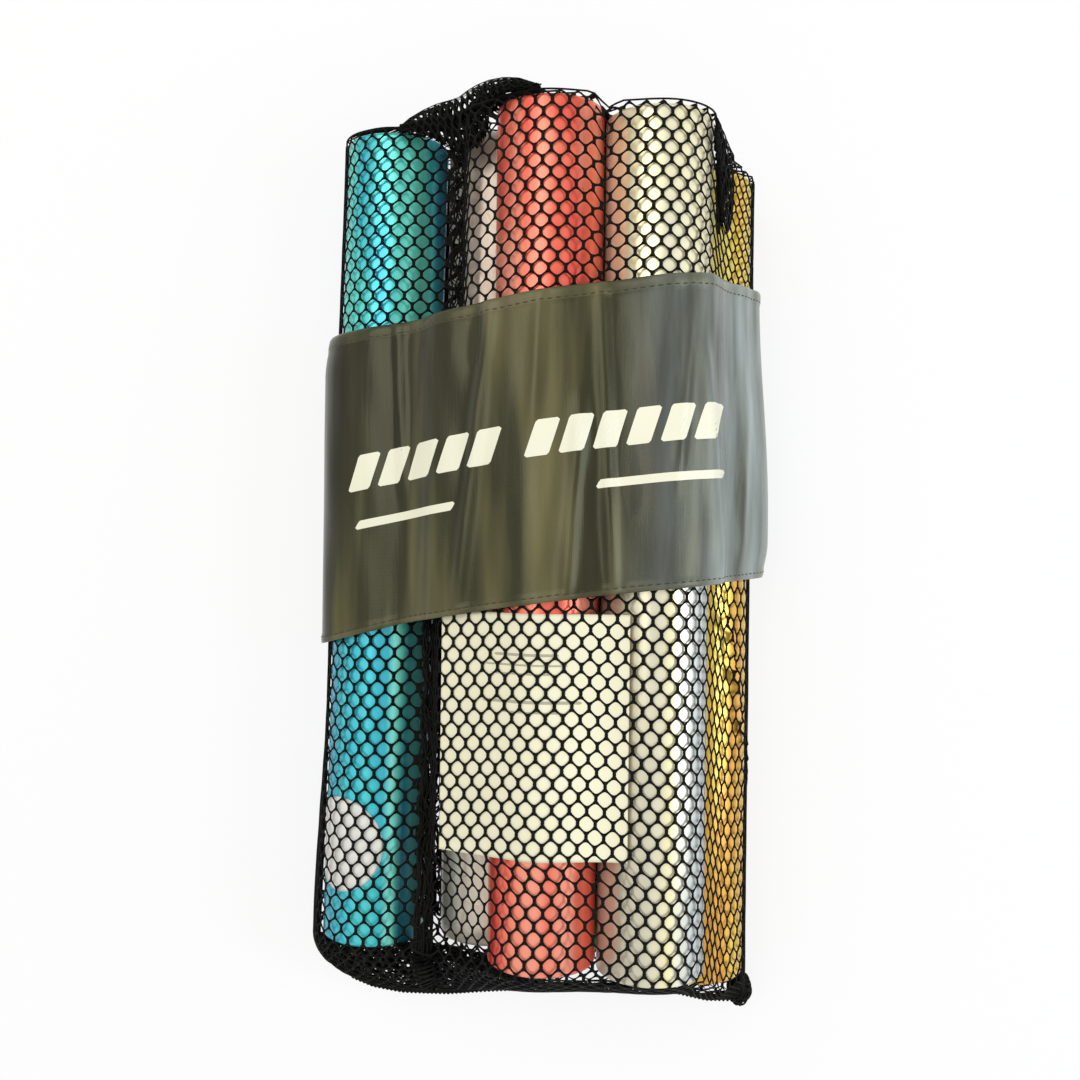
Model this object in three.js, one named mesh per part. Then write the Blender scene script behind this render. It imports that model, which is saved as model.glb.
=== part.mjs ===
import * as THREE from 'three';

// Six relay batons in a net bag: open aluminium tubes, four in a bottom row and two nested on top,
// with a label band round the bag and an insert card under the net.
// Millimetres, +Z up, +Y towards the bag's mouth. The origin is on the floor under the batons' middle.

// Batons
const tubeLength = 300;
const tubeRadius = 19;
const tubeWall = 1;
const lipRadius = 1.3;
const rowGap = 0.6;
const nestGap = 0.4;
const splayAngle = THREE.MathUtils.degToRad(1.2);
const tealLengthwise = -0.7;
const greyLengthwise = 0.3;
const greenLengthwise = -0.4;
const goldLengthwise = -13;
const redLengthwise = 1.5;
const silverLengthwise = -1.4;
const rowMiddle = 1.2;

// Clearances
const seatGap = 0.3;
const cardGap = 0.35;
const endGap = 0.6;

// Net bag
const netThickness = 1;
const sideSag = 11;
const crownSag = 2;
const shoulderSag = 1;
const bottomDepth = 24;
const bottomSeamHeight = 16;
const leftCornerRound = 24;
const rightCornerRound = 8;
const seamRadius = 1.1;
const seamRoom = 0.45;
const seamEndShare = 0.7;
const knobLength = 11;
const knobWidth = 9;
const knobHeight = 9;
const knobTurn = THREE.MathUtils.degToRad(-50);

// Gathered mouth
const mouthDepth = 4.2;
const mouthSlit = 2.4;
const mouthLeftShare = 0.22;
const mouthRightShare = 0.56;
const mouthLeftHeightShare = 0.55;
const mouthRightHeightShare = 0.87;
const hemThickness = 3;
const hemWidth = 9;
const hemRise = 3;

// Label band
const bandThickness = 0.6;
const bandHemExtra = 0.5;
const bandHemWidth = 4;
const bandTopAt = 85;
const bandTopRiseShare = 0.125;
const bandBottomAt = -22;
const bandBottomRiseShare = 0.155;
const bandSlackLeft = 0.8;
const bandSlackRight = 6.5;
const bandSideSag = 7;
const bandCrownSag = 1.2;
const bandShoulderSag = 0.5;

// Insert card and round sticker
const cardThickness = 0.5;
const cardLeftOfRed = 36;
const cardWidth = 65;
const cardLength = 84;
const cardFromEnd = 41;
const stickerRadius = 17.3;
const stickerThickness = 0.25;
const stickerFromEnd = 37;
const stickerTurn = THREE.MathUtils.degToRad(37);

// Facets
const tubeSides = 28;
const lipSteps = 7;
const arcSteps = 7;
const spanSteps = 8;
const capSteps = 7;
const barSides = 8;
const seamSteps = 12;
const hemSteps = 8;
const stickerSpokes = 24;
const stickerRings = 3;
const knobSides = 12;

// Places worked out from the sizes
const pitch = 2 * tubeRadius + rowGap;
const netSeat = bandThickness + seatGap;
const wrapRadius = tubeRadius + 2 * cardGap + cardThickness + netThickness;
const lowAxis = netSeat + netThickness + seatGap + tubeRadius;
const nestRise = Math.sqrt((2 * tubeRadius + nestGap) ** 2 - (pitch / 2) ** 2);
const highAxis = lowAxis + nestRise;
const greyAt = rowMiddle - pitch / 2;
const greenAt = rowMiddle + pitch / 2;
const goldAt = greenAt + pitch;
const splayShift = tubeLength / 2 * Math.sin(splayAngle);
const tealAt = greyAt - pitch - splayShift;
const redAt = rowMiddle;
const silverAt = redAt + pitch;
const wallReach = tubeLength / 2 + Math.max(redLengthwise, -silverLengthwise) + endGap;
const wrapFloor = netSeat + wrapRadius;
const leftCentre = new THREE.Vector2(tealAt - splayShift, wrapFloor);
const redCentre = new THREE.Vector2(redAt, highAxis);
const silverCentre = new THREE.Vector2(silverAt, highAxis);
const rightCentre = new THREE.Vector2(goldAt, wrapFloor);
const seamGap = seamRadius + seamRoom;
const seamAngle = Math.asin(seamGap / (wrapRadius - netThickness));
const leftReach = wrapRadius - leftCentre.x;
const rightReach = wrapRadius + rightCentre.x;
const wrapHeight = highAxis + wrapRadius;
const goldPastBottom = tubeLength / 2 - goldLengthwise + endGap - wallReach;
const goldShortOfTop = wallReach - tubeLength / 2 - goldLengthwise - endGap;
const shoulderSlope = Math.atan2(goldAt - silverAt, highAxis - wrapFloor);
const shoulderTop = highAxis + wrapRadius * Math.sin(shoulderSlope);

const set = new THREE.Group();

function addPiece(name, geometry, color, roughness, metalness) {
  const material = new THREE.MeshStandardMaterial({ color, roughness, metalness });
  const piece = new THREE.Mesh(geometry, material);
  piece.name = name;
  set.add(piece);
  return piece;
}

// A thin solid over a grid: columns run left to right over the top, rows run towards -Y.
// pointAt(column, row, inner) gives a point of the outer face, or of the inner one.
function gridSolid(columns, rows, pointAt, ring = false) {
  const positions = [];
  const triangles = [];
  for (const inner of [false, true]) {
    for (let c = 0; c < columns; c += 1) {
      for (let r = 0; r < rows; r += 1) positions.push(...pointAt(c, r, inner));
    }
  }
  const outerAt = (c, r) => (c % columns) * rows + r;
  const innerAt = (c, r) => columns * rows + outerAt(c, r);
  const quad = (a, b, c, d) => triangles.push(a, b, c, a, c, d);
  const lastColumn = ring ? columns : columns - 1;
  for (let c = 0; c < lastColumn; c += 1) {
    for (let r = 0; r < rows - 1; r += 1) {
      quad(outerAt(c, r), outerAt(c, r + 1), outerAt(c + 1, r + 1), outerAt(c + 1, r));
      quad(innerAt(c, r), innerAt(c + 1, r), innerAt(c + 1, r + 1), innerAt(c, r + 1));
    }
    quad(outerAt(c, 0), outerAt(c + 1, 0), innerAt(c + 1, 0), innerAt(c, 0));
    const last = rows - 1;
    quad(outerAt(c, last), innerAt(c, last), innerAt(c + 1, last), outerAt(c + 1, last));
  }
  if (!ring) {
    for (let r = 0; r < rows - 1; r += 1) {
      const last = columns - 1;
      quad(outerAt(0, r), innerAt(0, r), innerAt(0, r + 1), outerAt(0, r + 1));
      quad(outerAt(last, r), outerAt(last, r + 1), innerAt(last, r + 1), innerAt(last, r));
    }
  }
  const geometry = new THREE.BufferGeometry();
  geometry.setAttribute('position', new THREE.Float32BufferAttribute(positions, 3));
  geometry.setIndex(triangles);
  return geometry;
}

// Section of a wrap round the batons: an arc round each centre, and a sagging span between arcs.
// A station holds a base point, the outward direction there and how far the wrap sags.
function wrapStations(centres, startAngle, endAngle, sags) {
  const stations = [];
  const spanAngle = (i) => {
    const along = centres[i + 1].clone().sub(centres[i]);
    return Math.atan2(along.x, -along.y);
  };
  centres.forEach((centre, i) => {
    const from = i === 0 ? startAngle : spanAngle(i - 1);
    const to = i === centres.length - 1 ? endAngle : spanAngle(i);
    for (let s = 0; s <= arcSteps; s += 1) {
      const angle = from + (to - from) * s / arcSteps;
      const outward = new THREE.Vector2(Math.cos(angle), Math.sin(angle));
      stations.push({ base: centre, outward, sag: 0 });
    }
    if (i === centres.length - 1) return;
    const outward = new THREE.Vector2(Math.cos(to), Math.sin(to));
    for (let s = 1; s < spanSteps; s += 1) {
      const share = s / spanSteps;
      const base = centre.clone().lerp(centres[i + 1], share);
      stations.push({ base, outward, sag: sags[i] * Math.sin(Math.PI * share) ** 2 });
    }
  });
  return stations;
}

function wrapPoint(station, radius) {
  return station.base.clone().addScaledVector(station.outward, radius - station.sag);
}

// The stations of a wrap from one place across the batons to another, with one at each end
function stationsBetween(stations, radius, fromX, toX) {
  const across = stations.map((station) => wrapPoint(station, radius).x);
  const stationAt = (x) => {
    const after = across.findIndex((place) => place >= x);
    const [low, high] = [stations[after - 1], stations[after]];
    const share = (x - across[after - 1]) / (across[after] - across[after - 1]);
    return {
      base: low.base.clone().lerp(high.base, share),
      outward: low.outward.clone().lerp(high.outward, share),
      sag: THREE.MathUtils.lerp(low.sag, high.sag, share),
    };
  };
  const inside = stations.filter((station, i) => across[i] > fromX && across[i] < toX);
  return [stationAt(fromX), ...inside, stationAt(toX)];
}

const netSags = [sideSag, crownSag, shoulderSag];
const netCentres = [leftCentre, redCentre, silverCentre, rightCentre];
const front = wrapStations(netCentres, Math.PI - seamAngle, seamAngle, netSags);
const back = wrapStations([rightCentre, leftCentre], -seamAngle, seamAngle - Math.PI, [0]);

// Batons: a lathed tube whose ends are rolled in to a round lip

function batonGeometry() {
  const profile = [];
  const wallMeets = Math.PI * 2 - Math.acos((lipRadius - tubeWall) / lipRadius);
  const lipCentre = new THREE.Vector2(tubeRadius - lipRadius, tubeLength / 2 - lipRadius);
  for (let s = 0; s <= lipSteps; s += 1) {
    const angle = wallMeets * s / lipSteps;
    const outward = new THREE.Vector2(Math.cos(angle), Math.sin(angle));
    profile.push(lipCentre.clone().addScaledVector(outward, lipRadius));
  }
  const mirrored = profile.map((point) => new THREE.Vector2(point.x, -point.y)).reverse();
  return new THREE.LatheGeometry([...profile, ...mirrored, profile[0]], tubeSides);
}

const batons = [
  { name: 'baton_teal', x: tealAt, y: tealLengthwise, z: lowAxis, turn: -splayAngle, color: 0x12a9b4 },
  { name: 'baton_grey', x: greyAt, y: greyLengthwise, z: lowAxis, turn: 0, color: 0xb9b2a8 },
  { name: 'baton_green', x: greenAt, y: greenLengthwise, z: lowAxis, turn: 0, color: 0x2f8f4e },
  { name: 'baton_gold', x: goldAt, y: goldLengthwise, z: lowAxis, turn: 0, color: 0xe0a92c },
  { name: 'baton_red', x: redAt, y: redLengthwise, z: highAxis, turn: 0, color: 0xe2452f },
  { name: 'baton_silver', x: silverAt, y: silverLengthwise, z: highAxis, turn: 0, color: 0xdfe1dc },
];

for (const baton of batons) {
  const piece = addPiece(baton.name, batonGeometry(), baton.color, 0.3, 0.9);
  piece.position.set(baton.x, baton.y, baton.z);
  piece.rotation.z = baton.turn;
}

// Round sticker bent onto the teal baton, on the side that faces out of the bag

function stickerGeometry() {
  const positions = [];
  const triangles = [];
  const faceSize = 1 + stickerRings * stickerSpokes;
  const bend = (across, along, radius) => {
    const angle = Math.PI / 2 + stickerTurn + across / tubeRadius;
    positions.push(radius * Math.cos(angle), along, radius * Math.sin(angle));
  };
  const underside = tubeRadius + seatGap;
  for (const radius of [underside + stickerThickness, underside]) {
    bend(0, 0, radius);
    for (let ring = 1; ring <= stickerRings; ring += 1) {
      for (let spoke = 0; spoke < stickerSpokes; spoke += 1) {
        const reach = stickerRadius * ring / stickerRings;
        const angle = 2 * Math.PI * spoke / stickerSpokes;
        bend(reach * Math.sin(angle), reach * Math.cos(angle), radius);
      }
    }
  }
  const at = (face, ring, spoke) => {
    return face * faceSize + 1 + (ring - 1) * stickerSpokes + spoke % stickerSpokes;
  };
  for (let spoke = 0; spoke < stickerSpokes; spoke += 1) {
    triangles.push(0, at(0, 1, spoke), at(0, 1, spoke + 1));
    triangles.push(faceSize, at(1, 1, spoke + 1), at(1, 1, spoke));
    for (let ring = 1; ring < stickerRings; ring += 1) {
      const [a, b] = [at(0, ring, spoke), at(0, ring, spoke + 1)];
      const [c, d] = [at(0, ring + 1, spoke), at(0, ring + 1, spoke + 1)];
      triangles.push(a, c, d, a, d, b);
      triangles.push(a + faceSize, d + faceSize, c + faceSize);
      triangles.push(a + faceSize, b + faceSize, d + faceSize);
    }
    const [e, f] = [at(0, stickerRings, spoke), at(0, stickerRings, spoke + 1)];
    triangles.push(e, e + faceSize, f + faceSize, e, f + faceSize, f);
  }
  const geometry = new THREE.BufferGeometry();
  geometry.setAttribute('position', new THREE.Float32BufferAttribute(positions, 3));
  geometry.setIndex(triangles);
  return geometry;
}

const sticker = addPiece('round_sticker', stickerGeometry(), 0xe9e9e4, 0.5, 0);
sticker.position.set(tealAt, tealLengthwise, lowAxis);
sticker.rotation.z = -splayAngle;
sticker.translateY(stickerFromEnd - tubeLength / 2);

// Insert card, bent over the red baton as the net holds it

function cardGeometry() {
  const topFace = wrapRadius - netThickness - cardGap;
  const cardLeft = redAt - cardLeftOfRed;
  const cardBottom = cardFromEnd - tubeLength / 2;
  const stations = stationsBetween(front, topFace, cardLeft, cardLeft + cardWidth);
  const rows = [cardBottom + cardLength, cardBottom];
  return gridSolid(stations.length, rows.length, (c, r, inner) => {
    const point = wrapPoint(stations[c], inner ? topFace - cardThickness : topFace);
    return [point.x, rows[r], point.y];
  });
}

addPiece('insert_card', cardGeometry(), 0xf3efd6, 0.8, 0);

// Net bag: a front and a back panel, drawn together past the batons' bottom ends

// Where the wall ends towards the mouth: it is cut back past the gold baton, which lies lower down
function topReach(x) {
  const beside = silverAt + wrapRadius;
  return wallReach - goldShortOfTop * THREE.MathUtils.clamp((x - beside) / (rightReach - beside), 0, 1);
}

// How far the wall runs on at the bottom, to clear the gold baton's end
function bottomExtra(point) {
  const goldLeft = goldAt - tubeRadius;
  const goldTop = wrapFloor + wrapRadius;
  const across = THREE.MathUtils.clamp((point.x - greenAt) / (goldLeft - greenAt), 0, 1);
  const below = THREE.MathUtils.clamp((shoulderTop - point.y) / (shoulderTop - goldTop), 0, 1);
  return goldPastBottom * across * below;
}

// A point past the batons' ends: the front closes onto the seam in a straight line, the back in a curve.
// side is 1 on the front panel's edge of the seam, -1 on the back panel's and 0 on the seam.
function bottomCap(point, side, turnShare, inset) {
  const turn = turnShare * Math.PI / 2;
  const outward = Math.sin(turn);
  const drawnIn = point.x < 0 ? leftCornerRound / leftReach : rightCornerRound / rightReach;
  const seamHeight = wrapFloor - (wrapFloor - bottomSeamHeight) * outward;
  const extra = bottomExtra(point);
  const openShare = side > 0 ? 1 - outward : Math.cos(turn);
  const insetShare = side > 0 ? 1 : outward;
  return [
    point.x * (1 - drawnIn * (1 - Math.cos(turn))),
    -wallReach - extra - (bottomDepth - extra) * outward + inset * insetShare,
    seamHeight + side * seamGap + (point.y - wrapFloor - side * seamGap) * openShare,
  ];
}

function netPanel(stations, side) {
  const rows = capSteps + 2;
  return gridSolid(stations.length, rows, (c, r, inner) => {
    const inset = inner ? netThickness : 0;
    const point = wrapPoint(stations[c], wrapRadius - inset);
    if (r === 0) return [point.x, topReach(wrapPoint(stations[c], wrapRadius).x), point.y];
    return bottomCap(point, side, (r - 1) / capSteps, inset);
  });
}

addPiece('net_front', netPanel(front, 1), 0x141414, 0.8, 0);
addPiece('net_back', netPanel(back, -1), 0x141414, 0.8, 0);

// Seams: a rolled edge down each side and along the bottom, between the two panels

// A closed round bar with a ring of points, square to the route, at each point of it
function barAlong(route, radius, tall = radius) {
  const places = route.map((point) => new THREE.Vector3(...point));
  const positions = [];
  const triangles = [];
  places.forEach((place, i) => {
    const before = places[Math.max(i - 1, 0)];
    const after = places[Math.min(i + 1, places.length - 1)];
    const along = after.clone().sub(before).normalize();
    const aside = along.clone().cross(new THREE.Vector3(0, 0, 1)).normalize();
    const up = aside.clone().cross(along);
    for (let s = 0; s < barSides; s += 1) {
      const angle = 2 * Math.PI * (s + 0.5) / barSides;
      const rim = place.clone().addScaledVector(aside, radius * Math.cos(angle));
      positions.push(...rim.addScaledVector(up, tall * Math.sin(angle)));
    }
  });
  const at = (i, s) => i * barSides + s % barSides;
  const last = places.length - 1;
  for (let s = 0; s < barSides; s += 1) {
    for (let i = 0; i < last; i += 1) {
      triangles.push(at(i, s), at(i + 1, s), at(i + 1, s + 1));
      triangles.push(at(i, s), at(i + 1, s + 1), at(i, s + 1));
    }
    if (s > 0 && s < barSides - 1) {
      triangles.push(at(0, 0), at(0, s), at(0, s + 1));
      triangles.push(at(last, 0), at(last, s + 1), at(last, s));
    }
  }
  const geometry = new THREE.BufferGeometry();
  geometry.setAttribute('position', new THREE.Float32BufferAttribute(positions, 3));
  geometry.setIndex(triangles);
  return geometry;
}

const seamInset = netThickness / 2;

function sideSeamRoute(x) {
  const side = new THREE.Vector2(x, wrapFloor);
  const route = [[x, topReach(x + seamInset), wrapFloor]];
  for (let s = 0; s <= seamSteps; s += 1) {
    route.push(bottomCap(side, 0, seamEndShare * s / seamSteps, seamInset));
  }
  return route;
}

const seamLeft = leftCentre.x - wrapRadius + seamInset;
const seamRight = rightCentre.x + wrapRadius - seamInset;
addPiece('side_seam_left', barAlong(sideSeamRoute(seamLeft), seamRadius), 0x0e0e0e, 0.85, 0);
addPiece('side_seam_right', barAlong(sideSeamRoute(seamRight), seamRadius), 0x0e0e0e, 0.85, 0);

const bottomSeamAt = -wallReach - bottomDepth + seamInset;
const bottomSeamLeft = seamLeft * (1 - leftCornerRound / leftReach) + seamRadius;
const bottomSeamRight = seamRight * (1 - rightCornerRound / rightReach) - seamRadius;
const bottomSeamRoute = [bottomSeamLeft, bottomSeamRight].map((x) => [x, bottomSeamAt, bottomSeamHeight]);
addPiece('bottom_seam', barAlong(bottomSeamRoute, seamRadius), 0x0e0e0e, 0.85, 0);

// Bunched net at the bottom right corner, seated past the end of the side seam
const knobBall = new THREE.SphereGeometry(1, knobSides, knobSides / 2);
const knob = addPiece('corner_bunch', knobBall, 0x0e0e0e, 0.85, 0);
const knobReach = 1 / Math.hypot(2 * Math.cos(knobTurn) / knobWidth, 2 * Math.sin(knobTurn) / knobLength);
const knobAway = new THREE.Vector3(Math.cos(knobTurn), Math.sin(knobTurn), 0);
knob.scale.set(knobWidth / 2, knobLength / 2, knobHeight / 2);
knob.position.set(...sideSeamRoute(seamRight).at(-1));
knob.position.addScaledVector(knobAway, knobReach + seamRadius + seatGap);

// Mouth: the net beyond the batons' top ends is drawn in to a slit, closed by a folded hem

// A point of the slit's middle line
function mouthPoint(acrossShare) {
  const along = THREE.MathUtils.lerp(mouthLeftShare, mouthRightShare, acrossShare);
  const rise = THREE.MathUtils.lerp(mouthLeftHeightShare, mouthRightHeightShare, acrossShare);
  return new THREE.Vector2((leftReach + rightReach) * along - leftReach, wrapHeight * rise);
}

function mouthGeometry() {
  const stations = [...front, ...back];
  const rows = capSteps + 1;
  return gridSolid(stations.length, rows, (c, r, inner) => {
    const inset = inner ? netThickness : 0;
    const turn = (1 - r / capSteps) * Math.PI / 2;
    const edge = wrapPoint(stations[c], wrapRadius - inset);
    const across = wrapPoint(stations[c], wrapRadius).x;
    const drawn = mouthPoint((across + leftReach) / (leftReach + rightReach));
    drawn.y += c < front.length ? mouthSlit / 2 : -mouthSlit / 2;
    const point = drawn.lerp(edge, Math.cos(turn));
    const start = topReach(across);
    const depth = wallReach + mouthDepth - start - inset;
    return [point.x, start + seatGap + depth * Math.sin(turn), point.y];
  }, true);
}

addPiece('drawn_mouth', mouthGeometry(), 0x141414, 0.8, 0);

function hemGeometry() {
  const hemAt = wallReach + 2 * seatGap + mouthDepth + hemThickness / 2;
  const route = [];
  for (let s = 0; s <= hemSteps; s += 1) {
    const share = s / hemSteps;
    const drawn = mouthPoint(share);
    route.push([drawn.x, hemAt, drawn.y + hemRise * Math.sin(Math.PI * share)]);
  }
  return barAlong(route, hemThickness / 2, hemWidth / 2);
}

addPiece('mouth_hem', hemGeometry(), 0x101010, 0.85, 0);

// Label band: a front and a back panel of coated cloth round the bag, hemmed along both edges

const bandRadius = wrapRadius + seatGap;

function bandGeometry(stations, hemExtra) {
  const hemStep = bandHemWidth + bandThickness;
  const fromTop = [0, bandHemWidth, hemStep];
  const rows = 2 * fromTop.length;
  const hemRows = fromTop.length - 1;
  return gridSolid(stations.length, rows, (c, r, inner) => {
    const point = wrapPoint(stations[c], bandRadius);
    const outer = wrapPoint(stations[c], bandRadius + bandThickness);
    const hemmed = wrapPoint(stations[c], bandRadius + bandThickness + hemExtra);
    const top = bandTopAt + bandTopRiseShare * point.x;
    const bottom = bandBottomAt + bandBottomRiseShare * point.x;
    const y = r < fromTop.length ? top - fromTop[r] : bottom + fromTop[rows - 1 - r];
    const onHem = r < hemRows || r >= rows - hemRows;
    const { x, y: z } = inner ? point : onHem ? hemmed : outer;
    return [x, y, z];
  });
}

const bandEdge = Math.asin(seatGap / 2 / bandRadius);
const bandLeft = new THREE.Vector2(leftCentre.x - bandSlackLeft, leftCentre.y);
const bandRight = new THREE.Vector2(rightCentre.x + bandSlackRight, rightCentre.y);
const bandSags = [bandSideSag, bandCrownSag, bandShoulderSag];
const bandCentres = [bandLeft, redCentre, silverCentre, bandRight];
const bandOver = wrapStations(bandCentres, Math.PI - bandEdge, bandEdge, bandSags);
const bandUnder = wrapStations([bandRight, bandLeft], -bandEdge, bandEdge - Math.PI, [0]);
addPiece('band_front', bandGeometry(bandOver, bandHemExtra), 0x4c4d3f, 0.35, 0);
addPiece('band_back', bandGeometry(bandUnder, 0), 0x4c4d3f, 0.35, 0);

export default set;
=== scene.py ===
import math

import bpy
import numpy as np
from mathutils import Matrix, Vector


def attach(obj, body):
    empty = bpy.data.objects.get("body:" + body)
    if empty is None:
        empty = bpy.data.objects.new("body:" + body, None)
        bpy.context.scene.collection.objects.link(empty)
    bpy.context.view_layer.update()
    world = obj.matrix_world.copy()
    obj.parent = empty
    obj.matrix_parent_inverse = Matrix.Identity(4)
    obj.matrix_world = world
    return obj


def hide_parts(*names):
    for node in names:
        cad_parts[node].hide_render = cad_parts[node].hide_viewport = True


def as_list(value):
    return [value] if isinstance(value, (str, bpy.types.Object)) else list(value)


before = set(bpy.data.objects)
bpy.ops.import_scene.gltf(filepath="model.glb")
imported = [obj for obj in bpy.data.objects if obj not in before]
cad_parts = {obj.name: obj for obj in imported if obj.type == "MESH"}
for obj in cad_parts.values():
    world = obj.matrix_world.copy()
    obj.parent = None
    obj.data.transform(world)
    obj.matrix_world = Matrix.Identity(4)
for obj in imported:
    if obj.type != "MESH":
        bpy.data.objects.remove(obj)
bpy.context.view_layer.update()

MM = 0.001

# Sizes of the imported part, in millimetres
TUBE_LENGTH = 300.0
HALF_TUBE = TUBE_LENGTH / 2
TUBE_RADIUS = 19.0
TUBE_WALL = 1.0
LIP_RADIUS = 1.3
SPLAY = math.radians(1.2)
LOW_AXIS = 21.2
HIGH_AXIS = 54.4
BATONS = {    # x, y and z of the middle, and the turn about Z
    "teal": (-59.84, -0.7, LOW_AXIS, -SPLAY),
    "grey": (-18.1, 0.3, LOW_AXIS, 0.0),
    "green": (20.5, -0.4, LOW_AXIS, 0.0),
    "gold": (59.1, -13.0, LOW_AXIS, 0.0),
    "red": (1.2, 1.5, HIGH_AXIS, 0.0),
    "silver": (39.8, -1.4, HIGH_AXIS, 0.0),
}

# Radii of what is wrapped round the batons, and x and z of the axes that carry it
NET_RADIUS = 19.95
NET_CLEAR = 19.45
NET_AXIS = LOW_AXIS + 0.2
BAND_RADIUS = 21.55
BAND_AXIS = LOW_AXIS + 1.25
CARD_RADIUS = 19.4
HIGH_CENTRES = [(BATONS[name][0], HIGH_AXIS) for name in ("red", "silver")]
RIGHT_CENTRE = (BATONS["gold"][0], NET_AXIS)
NET_THREAD = 0.66
WALL_END = 152.1
SEAM_Z = 16.0
PANEL_JOIN = 30.0
FRONT_CELLS = 37
BACK_CELLS = 30
ROWS_A_CELL = 3
COLUMNS = 520
BACK_COLUMNS = 260


def add_object(name, data):
    obj = bpy.data.objects.new(name, data)
    bpy.context.scene.collection.objects.link(obj)
    return obj


# Camera: straight above, with the set turned a little in the frame
SENSOR, PHOTO_PX, FOCAL_PX = 36.0, 1080.0, 1130.0
camera_data = bpy.data.cameras.new("camera")
camera_data.sensor_width = SENSOR
camera_data.lens = SENSOR * FOCAL_PX / PHOTO_PX
camera = add_object("camera", camera_data)
camera.location = (-0.9 * MM, 0.0, 455 * MM)
camera.rotation_euler = (0.0, 0.0, math.radians(0.72))
bpy.context.scene.camera = camera
bpy.context.scene.view_settings.view_transform = "Standard"


# ---------------- materials

class Look:
    """The nodes of a new material or of a world, with short ways to add to them"""

    def __init__(self, data):
        data.use_nodes = True
        self.data = data
        self.nodes, self.links = data.node_tree.nodes, data.node_tree.links
        self.shader = self.nodes.get("Principled BSDF") or self.nodes["Background"]

    def feed(self, node, inputs):
        """Sets a node's inputs, or links other nodes' outputs to them"""
        for key, value in inputs.items():
            if isinstance(value, bpy.types.NodeSocket):
                self.links.new(value, node.inputs[key])
            else:
                node.inputs[key].default_value = value

    def add(self, kind, inputs, output=0, **settings):
        """A new node's output"""
        node = self.nodes.new(kind)
        for key, value in settings.items():
            setattr(node, key, value)
        self.feed(node, inputs)
        return node.outputs[output]

    def place(self, *scale):
        """The object's own coordinates, scaled"""
        place = self.add("ShaderNodeTexCoord", {}, "Object")
        return self.add("ShaderNodeMapping", {"Vector": place, "Scale": scale or (1.0, 1.0, 1.0)})

    def noise(self, vector, scale, detail=3.0, rough=0.5):
        return self.add("ShaderNodeTexNoise",
                        {"Vector": vector, "Scale": scale, "Detail": detail, "Roughness": rough}, "Fac")

    def ramp(self, value, places, colors):
        node = self.nodes.new("ShaderNodeValToRGB")
        elements = node.color_ramp.elements
        while len(elements) < len(places):
            elements.new(0.5)
        for element, at, color in zip(elements, places, colors):
            element.position = at
            element.color = (*color, 1.0)
        self.feed(node, {"Fac": value})
        return node.outputs["Color"]

    def spread(self, value, low, high, start=0.3, end=0.7):
        """From low to high, as value goes from start to end"""
        return self.add("ShaderNodeMapRange", {"Value": value, "From Min": start, "From Max": end,
                                               "To Min": low, "To Max": high})

    def math(self, operation, *values):
        return self.add("ShaderNodeMath", dict(enumerate(values)), operation=operation)

    def mix(self, share, one, other):
        return self.add("ShaderNodeMix", {"Factor": share, 6: one, 7: other}, 2, data_type="RGBA")

    def bump(self, height, distance, strength, **under):
        normal = self.add("ShaderNodeBump",
                          {"Height": height, "Distance": distance, "Strength": strength, **under})
        self.feed(self.shader, {"Normal": normal})
        return normal


def srgb(color):
    """A colour from 0 to 255, in linear light"""
    return tuple(v / 12.92 if v <= 0.04045 else ((v + 0.055) / 1.055) ** 2.4 for v in np.array(color) / 255.0)


def anodised(name, *colors, metallic=0.3, across=None):
    """Anodised tube metal: colors run in soft streaks along the tube, from dark to light; the streaks are
    painted reflections. Over the tube's lower part they mix with across: the tube's left side and lean, and
    the colors from there to the right, which paint highlights, reflections and shade across the tube"""
    look = Look(bpy.data.materials.new(name + "_anodised"))
    fine = look.place()
    patches = look.noise(fine, 34.0)
    # Lengthwise streaks of painted reflection, mixed with patches of the metal's own tone
    painted_light_streaks = look.noise(look.place(1.0, 0.05, 1.0), 75.0, 2.0, 0.4)
    color = look.ramp(look.math("MULTIPLY_ADD", patches, 0.3, painted_light_streaks), (0.5, 0.62, 0.76), map(srgb, colors))
    if across:
        left, lean, light_and_shade_stops = across
        rightward, upward = (
            look.add("ShaderNodeVectorMath", {0: fine, 1: axis}, "Value", operation="DOT_PRODUCT")
            for axis in ((1.0, lean, 0.0), (0.0, 1.0, 0.0)))
        share = look.spread(rightward, 0.0, 1.0, left * MM, (left + 2 * TUBE_RADIUS) * MM)
        # Painted highlight, reflection and shade across the tube, from its left side to its right
        painted_light_course = look.ramp(share, [stop[0] for stop in light_and_shade_stops], [srgb(stop[1:]) for stop in light_and_shade_stops])
        color = look.mix(look.spread(upward, 0.72, 0.12, -0.02, 0.06), color, painted_light_course)
    look.feed(look.shader, {"Metallic": metallic, "Base Color": color,
                            "Roughness": look.spread(patches, 0.2, 0.32)})
    look.bump(look.noise(look.place(1.0, 0.03, 1.0), 900.0), 0.00003, 0.3)
    return look.data


def plain_material(name, dark, pale, patches, grain, rough, relief, specular=0.5):
    """Thread, paper or ink: patches from dark to pale, in linear light, with a grain that stands up"""
    look = Look(bpy.data.materials.new(name))
    fine = look.place()
    fibres = look.noise(fine, *grain)
    color = look.ramp(look.noise(fine, patches, 2.0), (0.3, 0.7), (dark, pale))
    look.feed(look.shader, {"Base Color": color, "Roughness": look.spread(fibres, *rough),
                            "Specular IOR Level": specular})
    look.bump(fibres, *relief)
    return look.data


def paper_material(name, color, grain, rough=(0.5, 0.65)):
    color = srgb(color)
    dark = [c * 0.93 for c in color]
    return plain_material(name, dark, color, 22.0, (grain, 5.0, 0.65), rough, (0.00005, 0.4))


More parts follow.
